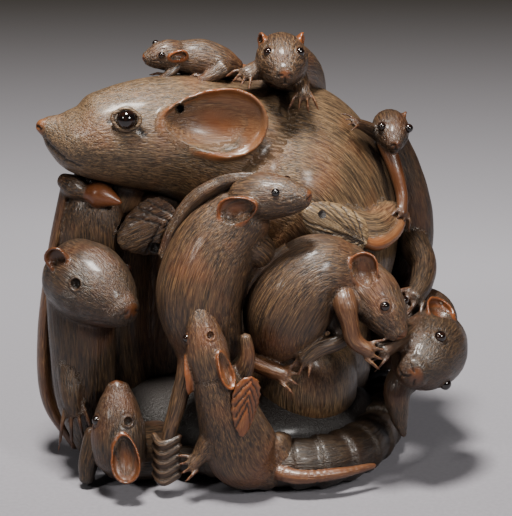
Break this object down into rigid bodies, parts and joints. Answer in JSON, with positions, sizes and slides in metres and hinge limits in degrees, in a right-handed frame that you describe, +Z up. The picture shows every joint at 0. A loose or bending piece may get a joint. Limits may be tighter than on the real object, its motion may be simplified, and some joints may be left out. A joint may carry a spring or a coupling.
{
  "type": "boxwood okimono",
  "caption": "Carved boxwood table ornament: a large crouching rat with her young climbing over her among leaves, dark horn bead eyes, flat underside.",
  "frame": {"origin": "middle of the flat underside, on the surface that it stands on", "axes": "+Z up; -Y towards the front, where the young rats are; the large rat's nose points to -X"},
  "size_m": [0.1027, 0.084, 0.1014],
  "materials": {
    "boxwood": "stained boxwood, finely carved as fur, worn to orange brown on the edges, waxed to a satin",
    "horn": "polished dark horn"
  },
  "bodies": {
    "root": {"boxwood_group": "boxwood", "mother_eye_left": "horn", "mother_eye_right": "horn", "rat_on_head_eye_left": "horn", "rat_on_head_eye_right": "horn", "rat_over_top_eye_left": "horn", "rat_over_top_eye_right": "horn", "rat_down_back_eye_left": "horn", "rat_down_back_eye_right": "horn", "rat_right_eye_left": "horn", "rat_right_eye_right": "horn", "rat_middle_eye_left": "horn", "rat_middle_eye_right": "horn", "rat_centre_eye_left": "horn", "rat_centre_eye_right": "horn", "rat_front_eye_left": "horn", "rat_front_left_eye_left": "horn", "rat_left_eye_left": "horn"}
  },
  "joints": []
}
